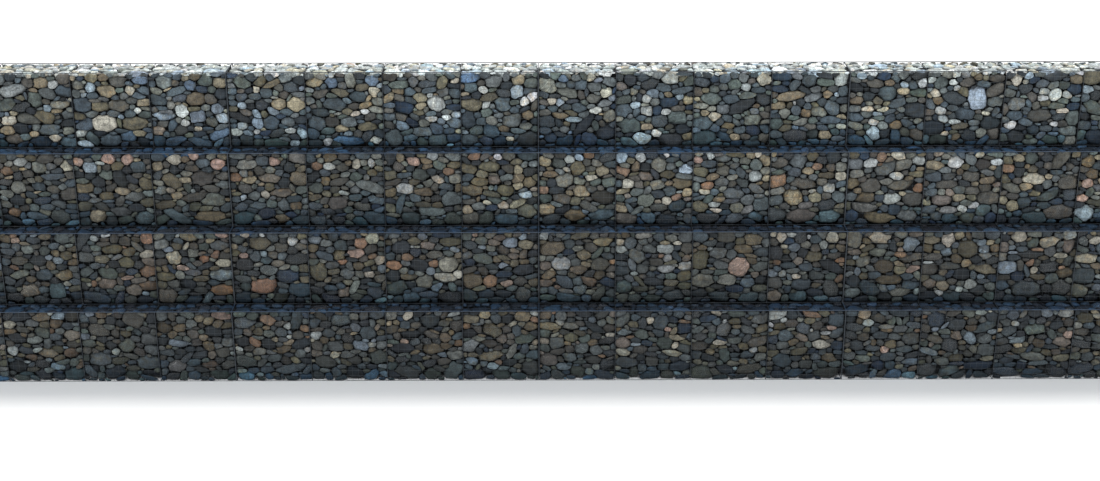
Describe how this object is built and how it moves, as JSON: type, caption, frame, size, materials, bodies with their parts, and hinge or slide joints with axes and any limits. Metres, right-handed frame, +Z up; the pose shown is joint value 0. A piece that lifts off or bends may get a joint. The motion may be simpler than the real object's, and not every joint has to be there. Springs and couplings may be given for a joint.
{
  "type": "tiered gabion retaining wall",
  "caption": "Free-standing run of a stepped retaining wall made of stone-filled wire baskets in tiers, each set back from the one below.",
  "frame": {"origin": "middle of the wall's base on the ground", "axes": "+X along the wall, +Y from the front to the retained side, +Z up"},
  "size_m": [16.0012, 2.025, 4],
  "materials": {
    "stone_fill": "rough",
    "galvanised_wire": "dull"
  },
  "bodies": {
    "root": {"bottom_tier_stone_fill_1": "stone_fill", "bottom_tier_wire_cage_1": "galvanised_wire", "bottom_tier_stone_fill_2": "stone_fill", "bottom_tier_wire_cage_2": "galvanised_wire", "bottom_tier_stone_fill_3": "stone_fill", "bottom_tier_wire_cage_3": "galvanised_wire", "bottom_tier_stone_fill_4": "stone_fill", "bottom_tier_wire_cage_4": "galvanised_wire", "bottom_tier_lids": "galvanised_wire", "second_tier_stone_fill_1": "stone_fill", "second_tier_wire_cage_1": "galvanised_wire", "second_tier_stone_fill_2": "stone_fill", "second_tier_wire_cage_2": "galvanised_wire", "second_tier_stone_fill_3": "stone_fill", "second_tier_wire_cage_3": "galvanised_wire", "second_tier_stone_fill_4": "stone_fill", "second_tier_wire_cage_4": "galvanised_wire", "second_tier_lids": "galvanised_wire", "third_tier_stone_fill_1": "stone_fill", "third_tier_wire_cage_1": "galvanised_wire", "third_tier_stone_fill_2": "stone_fill", "third_tier_wire_cage_2": "galvanised_wire", "third_tier_stone_fill_3": "stone_fill", "third_tier_wire_cage_3": "galvanised_wire", "third_tier_stone_fill_4": "stone_fill", "third_tier_wire_cage_4": "galvanised_wire", "third_tier_lids": "galvanised_wire", "top_tier_stone_fill_1": "stone_fill", "top_tier_wire_cage_1": "galvanised_wire", "top_tier_stone_fill_2": "stone_fill", "top_tier_wire_cage_2": "galvanised_wire", "top_tier_stone_fill_3": "stone_fill", "top_tier_wire_cage_3": "galvanised_wire", "top_tier_stone_fill_4": "stone_fill", "top_tier_wire_cage_4": "galvanised_wire", "top_tier_lids": "galvanised_wire"}
  },
  "joints": []
}
